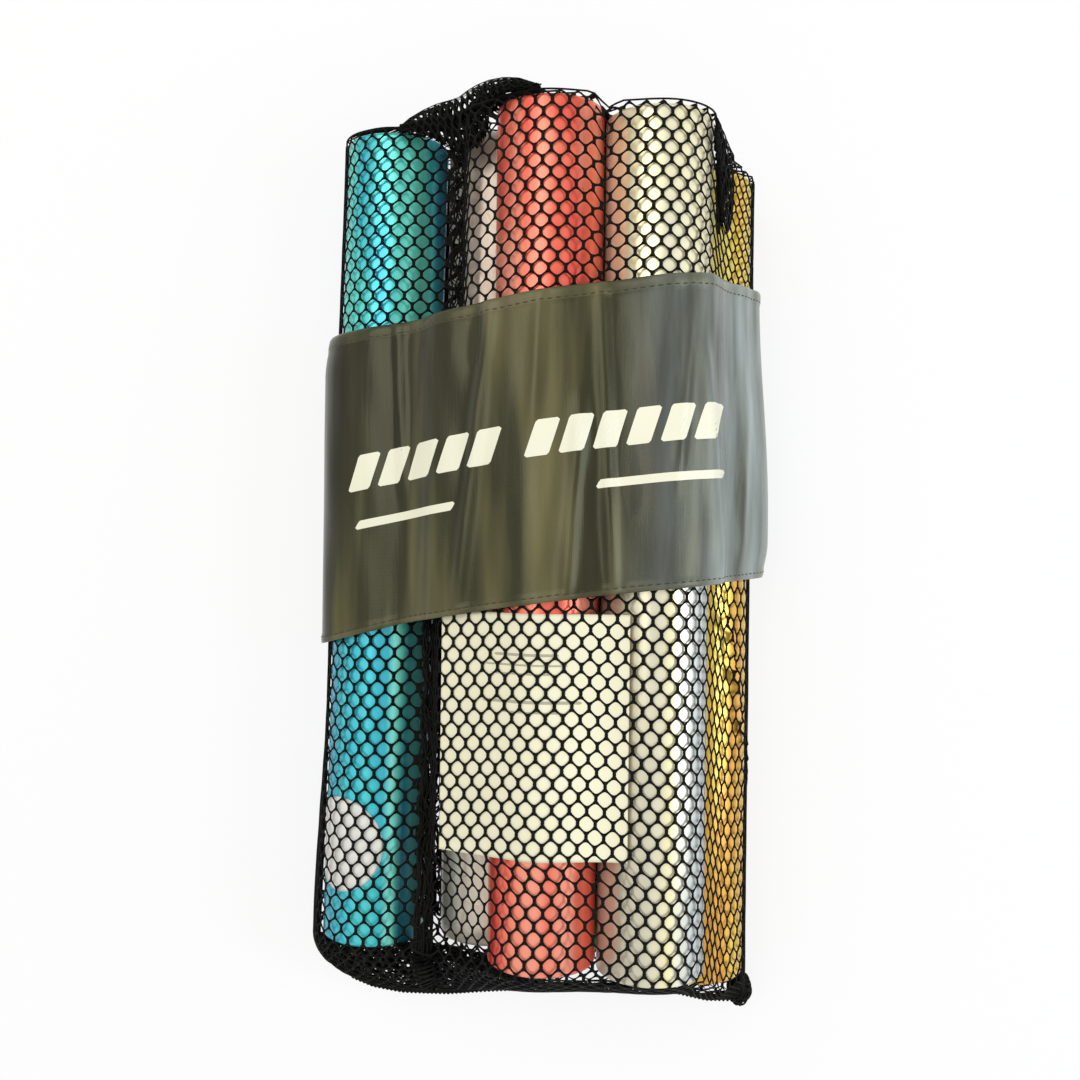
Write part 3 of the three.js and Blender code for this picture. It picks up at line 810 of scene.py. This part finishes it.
# The threads behind, in the gap between the teal and grey batons, are partly the back net's pleat and partly
# a dark stand-in for the shade on the floor there, so that no white floor shows in the gap
gap_route = [(0.5 * (axis_x("teal", y) + BATONS["grey"][0]), y, 5) for y in np.linspace(147, -150, 12)]
gap_net_and_shade = gathered("ridge_behind", gap_route, [5, 6, 9, 14], [2, 2.4, 2.4, 2.4], 26, 801, 0.44, 150)
SHOULDER_LOW = [(60.2, 118, 60.2), (61.5, 112, 58), (63, 109, 55.3), (64.5, 112, 52.7), (66, 121, 50.1)]
SHOULDER_HIGH = [(57.8, 146.6, 64), (59.8, 144.6, 60.8), (61.8, 142.2, 57.4), (63.8, 140, 53.9),
                 (66, 138.4, 50.1)]
SHOULDER_CORE = [(58.2, 141.5, 65.6), (59.8, 136, 61.6), (60.7, 129.5, 58.6), (61, 121.5, 56.2),
                 (60.8, 109, 55.2)]
OFF_SLOPE = (0.86, 0, 0.5)
shoulder = [patch("shoulder_layer_%d" % (i + 1), SHOULDER_LOW, SHOULDER_HIGH, (4 + i, 7 + i), 171 + 9 * i,
                  (0.3 + 0.6 * i, 0.5), 0.35, OFF_SLOPE) for i in range(2)]
shoulder.append(gathered("shoulder_core", SHOULDER_CORE, [1.2, 4.4, 6, 4.6, 0.8], [1.2, 1.8, 2.2, 1.8, 0.8],
                         22, 461, up=OFF_SLOPE))

# Slack net tucked under the front's lower edge, from its left end to the red baton
tucks = []
for i in range(5):
    grid = []
    first, second = wave_noise(501 + i, 7, 2, 9), wave_noise(541 + i, 7, 5, 16)
    u = np.linspace(0, 0.47 + 0.03 * (i % 3), 150)
    for v in np.linspace(0, 1 - 0.12 * i, 30):
        down = (LOWER_CELLS - CAP_CELLS * 0.97 * (1 - v)) / LOWER_CELLS
        sink = -0.8 - 0.9 * i + (0.8 * first(u * 2 + 0.4 * v) + 0.5 * second(u * 2 - v)) * (1 - 0.5 * v)
        grid.append(lower.at(u, down, np.minimum(sink, -0.6) * (1 - 0.35 * v)))
    tucks.append(net_mesh("tuck_layer_%d" % (i + 1), Surface(grid), 28 + 3 * i, 8 + i, 0.46, TIGHT_CELL))
TUCK_LINE = [(-50, -151.4, 33.5), (-42.5, -152.2, 33), (-35, -153, 36), (-27, -153, 39.5),
             (-20, -152.6, 43.5), (-13, -152.2, 47)]
tucks.append(gathered("tuck_gather", TUCK_LINE, [2, 5, 6.5, 6.5, 5, 1.6], [2, 3, 3.4, 3.4, 3, 1.4], 20, 701))

# Side seams and bottom seam: rolled edges that join front and back
SEAM_STEPS, COIL_STEPS, COIL_TURNS = 170, 1000, 50
seam_share = shares(SEAM_STEPS)
front_rows = upper_wall + list(lower.grid[1:])


def seam_roll(side, edge, thick, from_y, seed):
    """A side seam that grows from 0.7 to thick, from from_y downwards"""
    route = resample([row[edge] for row in front_rows], SEAM_STEPS)
    lumps = 1 + 0.12 * wave_noise(seed, 8, 4, 22)(seam_share)
    radius = 0.7 + (thick - 0.7) * smooth_step(from_y, from_y - 60, route[:, 1])
    return tube_along("side_seam_%s_roll" % side, route, radius * lumps, 10)


side_left = seam_roll("left", 0, 1.6, -70, 31)
side_right = seam_roll("right", -1, 1, -120, 41)
bottom_route = resample(seam_point(shares(120)), SEAM_STEPS)
lumps = 1 + 0.2 * wave_noise(51, 10, 3, 18)(seam_share)
bottom_seam = tube_along("bottom_seam_roll", bottom_route, lumps, 12)
overcast = []
for k in range(2):
    twist = np.linspace(0, 2 * math.pi * COIL_TURNS, COIL_STEPS) + math.pi * k
    coil = resample(bottom_route, COIL_STEPS) + 1.12 * np.stack([0 * twist, np.cos(twist), np.sin(twist)], 1)
    overcast.append(tube_along("bottom_overcast_%d" % (k + 1), coil, 0.3, 6))
fringe = gathered("bottom_fringe", seam_point(shares(60)) + (0, 1.6, 0.6), [2, 4, 3, 2, 3],
                  [2, 2.6, 2, 1.6, 2.6], 5, 601, 0.3, 170)

# Bunched corner at the bottom right: a ball of threads round a core
KNOT = np.array([79, -173.8, 14])
KNOT_RINGS = 40
RIDGES = unit(np.random.RandomState(61).normal(size=(14, 3)))


def knot_place(ring, turn):
    polar = math.pi * ring / KNOT_RINGS
    way = np.array([*(math.sin(polar) * direction(turn)), math.cos(polar)])
    ridge = sum(abs(math.sin(5 * float(way @ axis) + k)) for k, axis in enumerate(RIDGES)) / len(RIDGES)
    return KNOT + way * (4.2, 5.6, 4.2) * (0.78 + 0.34 * ridge)


knot = polar_mesh("corner_knot", knot_place, KNOT_RINGS, 2 * KNOT_RINGS, NET)
rng = np.random.RandomState(7)
loops = []
for k in range(16):
    axis = unit(rng.normal(size=3))
    first = unit(np.cross(axis, [0.3, 0.5, 0.8]))
    second = np.cross(axis, first)
    ring = [KNOT + (first * math.cos(a) + second * math.sin(a) + axis * 0.35 * math.sin(2 * a + k))
            * (4.4, 6, 4.5) * (0.94 + 0.08 * math.sin(3 * a + k)) for a in np.linspace(0, 2 * math.pi, 60)]
    loops.append(tube_along("knot_loop_%02d" % (k + 1), ring, 0.42, 6))

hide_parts("net_front", "drawn_mouth")
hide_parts("net_back")
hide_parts("mouth_hem")
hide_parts("side_seam_left")
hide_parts("side_seam_right")
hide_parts("bottom_seam")
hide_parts("corner_bunch")


# Each net and the pieces that go with it ride on the bag; each net's size before it was hung, its longest row
# by its mean column, is worked out but not used
UNDER_FRONT = ["tube_red", "tube_silver", "tube_teal"]
seam_pieces = [mouth_hem, side_left, side_right, bottom_seam, fringe, knot] + overcast + loops
for net, surface, rests, extras in (
        (net_upper, upper, UNDER_FRONT, collar + shoulder + [top_ridge, net_bend, mouth_hem]),
        (net_lower, lower, UNDER_FRONT, tucks + [low_ridge_and_shade, fringe, knot] + loops),
        (net_back, back, ["floor"], [side_left, side_right, bottom_seam, gap_net_and_shade] + overcast)):
    for piece in [net] + extras:
        assign(piece, "bag", "seam" if piece in seam_pieces else "net")
    flat = [round(float(size) * MM, 3) for size in (surface.lengths(1).max(), surface.lengths(0).mean())]
    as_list(rests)
    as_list(extras)


# ---------------- label band

BAND_TOP = np.polyfit([-84, -77, -33, 6, 53, 77, 87], [74.6, 75.2, 79.2, 86.6, 90.3, 94, 95], 3)
BAND_BOTTOM = np.polyfit([-84, -77, -36, 7, 51, 85], [-40, -38.9, -26.8, -21.1, -14.6, -13], 3)
BAND_CLOTH = 0.4
BAND_COLUMNS = 350
BAND_BACK_COLUMNS = 240
BAND_ROWS = np.linspace(110, -52, 100)

# Creases that stand up along the band: x at y = 0, lean, half width, height, from y, to y
CREASES = [(-49, -0.05, 2.2, 1.2, 5, 90), (-27, 0.1, 2.6, 1.7, -34, 96), (-6, 0.05, 2.2, 1, 30, 96),
           (9, 0.07, 2.6, 1.5, -34, 58), (23, -0.05, 2.6, 1.9, -30, 96), (43, 0.08, 2.4, 1.4, 10, 96),
           (60, -0.1, 2.8, 1.8, -24, 80), (71, 0.04, 2.4, 1.3, -20, 60)]
coarse, fine, slow = wave_noise(71, 9, 3, 9), wave_noise(72, 9, 8, 20), wave_noise(73, 6, 0.5, 3)


def band_dip(share):
    return 5.0 * smooth_step(0.06, 0.34, share) * (1 - smooth_step(0.36, 0.54, share))


def band_row(y, front):
    left = (-83.0 + 5.2 * smooth_step(60, 92, y) + BAND_RADIUS, BAND_AXIS)
    right = (81.0 + 4.4 * smooth_step(96, 10, y) - 2.2 * smooth_step(0, -16, y) - BAND_RADIUS, BAND_AXIS)
    if not front:
        return resample(under_section(left, right, BAND_RADIUS), BAND_BACK_COLUMNS)
    points = resample(section([left, *HIGH_CENTRES, right], BAND_RADIUS, [band_dip, 1.2, 0.6]), BAND_COLUMNS)
    share = shares(BAND_COLUMNS)
    drift = 0.02 * y / 100.0
    depth = 0.75 * coarse(share + drift) + 0.3 * fine(share - 1.6 * drift)
    depth *= 0.8 + 0.6 * slow(y / 90.0 + share * 2)
    for at, lean, wide, high, low_y, high_y in CREASES:
        length = smooth_step(low_y, low_y + 22, y) * smooth_step(high_y, high_y - 22, y)
        depth += high * length * np.exp(-((points[:, 0] - at - lean * y) / wide) ** 2)
    depth = np.maximum(depth, -0.6) * smooth_step(0, 0.06, share) * smooth_step(1, 0.95, share)
    return points + outward(points) * depth[:, None]


def band_surface(front):
    """The band between its curved edges, each row found in a few steps"""
    wrap = Surface([[(x, y, z) for x, z in band_row(y, front)] for y in BAND_ROWS])
    u = shares(wrap.grid.shape[1])
    grid = []
    for v in shares(124):
        y = 90.0 - 110.0 * v
        for _ in range(5):
            place = wrap.at(u, (BAND_ROWS[0] - y) / (BAND_ROWS[0] - BAND_ROWS[-1]))
            y = np.polyval(BAND_TOP, place[:, 0]) * (1 - v) + np.polyval(BAND_BOTTOM, place[:, 0]) * v
        grid.append(place)
    return Surface(grid)


def band_panel(name, surface):
    """A hemmed panel: closed, with a raised hem along its top and a narrow one along its bottom"""
    rows, cols = surface.grid.shape[:2]
    length = float(surface.lengths(0).mean())
    down = np.linspace(0, length, rows)
    from_end = length - down
    hem_top = 0.42 * smooth_step(4.6, 4.1, down) * smooth_step(-0.2, 0.7, down)
    hem_low = 0.3 * smooth_step(2.9, 2.5, from_end) * smooth_step(-0.2, 0.6, from_end)
    groove = 0.22 * np.exp(-((down - 3.7) / 0.35) ** 2) + 0.18 * np.exp(-((from_end - 2.1) / 0.3) ** 2)
    outer = surface.grid + surface.normal * (BAND_CLOTH + hem_top + hem_low - groove)[:, None, None]
    piece = closed_sheet(name, outer, surface.grid, BAND)
    piece.data.materials.append(HEM)
    strip = np.zeros(len(piece.data.polygons), int)
    in_hem = (down < 3.9) | (from_end < 2)
    strip[:(rows - 1) * (cols - 1)] = np.repeat(in_hem[:-1], cols - 1)
    piece.data.polygons.foreach_set("material_index", strip)
    return piece, length


def stitches(name, surface, share_down, step=2.9, size=0.24):
    """Short rounded stitches in one line, a share of the panel's length from its top edge"""
    line = surface.at(shares(900), share_down, BAND_CLOTH + 0.2)
    along = way_along(line)
    points, faces = [], []
    for start in np.arange(1.5, along[-1] - step, step):
        places = np.linspace(start, start + step * 0.66, 5)
        middle = between(places, along, line)
        ahead = unit(middle[-1] - middle[0])
        side = unit(np.cross(ahead, [0.05, 0.02, 1]))
        over = 0.8 * np.cross(side, ahead)
        radii = size * np.array([0.35, 0.9, 1, 0.9, 0.35])
        add_bar(points, faces, middle, [side] * 5, [over] * 5, radii, 6)
    return add_mesh(name, points, faces, STITCH)


def printed_bars(name, surface, length, base, bars, material, lean=0.0, rows=7):
    """Bars of ink on a sheet: each is (left x, right x, millimetres down, height); lean slants them"""
    middle = surface.grid[surface.grid.shape[0] // 2, :, 0]
    points, faces, count = [], [], 0
    for left, right, drop, tall in bars:
        cols = max(8, int((right - left) / 0.7))
        x = np.linspace(left, right, cols)
        corner = min(0.9, tall / 2)
        inside = np.minimum(np.minimum(x - left, right - x) / corner, 1)
        half = tall / 2 - corner * (1 - np.sqrt(np.clip(1 - (1 - inside) ** 2, 0.02, 1)))
        for height in (base + 0.16, base - 0.1):
            for h in np.linspace(-1, 1, rows):
                u = np.interp(x - lean * h * tall / 2, middle, shares(len(middle)))
                points.append(surface.at(u, (drop + half * h) / length, height))
        faces.append(closed_faces(rows, cols) + count)
        count += 2 * rows * cols
    return add_mesh(name, np.concatenate(points), np.concatenate(faces), material, smooth=False)


# The print: slanted bars, and two lines under them
BARS_FROM = [-69.0 + 11.2 * k for k in range(5)] + [-4.6 + 11.4 * k for k in range(6)]
BARS = [(x, x + 8.2, 51, 12.5) for x in BARS_FROM] + [(-67.5, -31, 69.5, 3), (18, 62, 69.5, 3)]
WIDTH_ROW = 70
for side, under in (("front", "net_front_upper"), ("back", "net_back_panel")):
    surface = band_surface(side == "front")
    panel, length = band_panel("band_%s_cloth" % side, surface)
    assign(panel, "bag", "band", "band_%s" % side)
    extras = [stitches("band_%s_stitch_%s" % (side, edge), surface, down / length)
              for edge, down in (("top", 3.7), ("bottom", length - 2.1))]
    for piece in extras:
        assign(piece, "bag", "band")
    if side == "front":
        extras.append(printed_bars("band_print", surface, length, BAND_CLOTH, BARS, PRINT, lean=0.3))
        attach(extras[-1], "bag")
    flat = (round(float(surface.lengths(1)[WIDTH_ROW]) * MM, 4), round(length * MM, 4))
    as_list(extras)


# ---------------- card and sticker

CARD_X = np.linspace(-35, 30, 90)
CARD_TOP, CARD_BOTTOM = -25, -109
CARD_HALF = 0.14


def card_row(y):
    x, z = resample(section(front_centres(y), CARD_RADIUS, [lambda share: 0, 2, 1]), 900).T
    z = np.interp(CARD_X, x, z) + 0.006 * math.sin(y / 13.0)
    return np.stack([CARD_X, np.full(len(z), y), z], 1)


card_sheet = Surface([card_row(y) for y in np.linspace(CARD_TOP, CARD_BOTTOM, 60)])
thick = card_sheet.normal * CARD_HALF
card = closed_sheet("insert_card_paper", card_sheet.grid + thick, card_sheet.grid - thick, CARD)
fine_print = printed_bars("insert_card_print", card_sheet, CARD_TOP - CARD_BOTTOM, CARD_HALF,
                          [(-16, 6, 14, 0.9), (-19, 9, 17.5, 0.6), (-17, 3, 20.5, 0.6), (-20, 14, 30, 1),
                           (-14, 8, 33.5, 0.6)], FAINT_INK, rows=3)
assign(card, "card", "card", "insert_card")
assign(fine_print, "card", "card")

STICKER_RADIUS, STICKER_RINGS = 17.3, 14
STICKER_TURN = math.radians(90 + 37)
STICKER_MIDDLE = 37.0 - HALF_TUBE
curl_at = wave_noise(91, 5, 1, 4)


def sticker_place(ring, turn):
    """Rings out over the sticker's upper face, then back in under it"""
    upper_face = ring <= STICKER_RINGS
    share = (ring if upper_face else 2 * STICKER_RINGS + 1 - ring) / STICKER_RINGS
    curl = 0.05 * max(0.0, float(curl_at(turn / (2 * math.pi)))) * share ** 6
    height = (0.22 if upper_face else 0.06) + curl
    along, across = STICKER_RADIUS * share * direction(turn)
    return on_baton("teal", TUBE_RADIUS + height, STICKER_TURN + across / TUBE_RADIUS, along + STICKER_MIDDLE)


sticker = polar_mesh("round_sticker_vinyl", sticker_place, 2 * STICKER_RINGS + 1, 72, STICKER)
assign(sticker, "teal", "sticker", "round_sticker")

# ---------------- floor, light

LEVEL = 0.6           # the world's light on the object; what the camera, metal and glass see of it is white
FLOOR_WHITE = 0.8     # how much white they see added to the floor
REACH = 4000          # the floor's


def seen_rays(look, low, high):
    """high for camera, glossy and transmission rays, and low for all others"""
    paths = look.nodes.new("ShaderNodeLightPath").outputs
    either = look.math("MAXIMUM", paths["Is Camera Ray"], paths["Is Glossy Ray"])
    return look.spread(look.math("MAXIMUM", either, paths["Is Transmission Ray"]), low, high, 0.0, 1.0)


ground = Look(bpy.data.materials.new("floor_white"))
ground.feed(ground.shader, {"Base Color": (0.9, 0.9, 0.9, 1), "Roughness": 0.9})
glow = ground.add("ShaderNodeEmission", {})
whitened = ground.add("ShaderNodeMixShader", {0: seen_rays(ground, 0.0, FLOOR_WHITE),
                                              1: ground.shader.outputs[0], 2: glow})
ground.feed(ground.nodes["Material Output"], {"Surface": whitened})
corners = [(-REACH, -REACH, 0), (REACH, -REACH, 0), (REACH, REACH, 0), (-REACH, REACH, 0)]
floor = add_mesh("floor", corners, [(0, 1, 2, 3)], ground.data, smooth=False)

sky = Look(bpy.data.worlds.new("world"))
bpy.context.scene.world = sky.data
sky.feed(sky.shader, {"Color": (1, 1, 1, 1), "Strength": seen_rays(sky, LEVEL, 1.0)})


def area_light(name, place, aim, size, power, color):
    data = bpy.data.lights.new(name, "AREA")
    data.shape = "RECTANGLE"
    data.size, data.size_y = size
    data.energy = power
    data.color = color
    lamp = add_object(name, data)
    lamp.location = place
    lamp.rotation_euler = Vector(np.array(aim) - np.array(place)).to_track_quat("-Z", "Y").to_euler()


area_light("key", (-0.55, 0.35, 1.15), (0, 0, 0.03), (0.9, 0.9), 7.2, (1.0, 0.97, 0.92))
area_light("right", (1.2, -0.1, 0.75), (0.03, 0, 0.03), (0.6, 0.9), 8.0, (0.86, 0.94, 1.0))
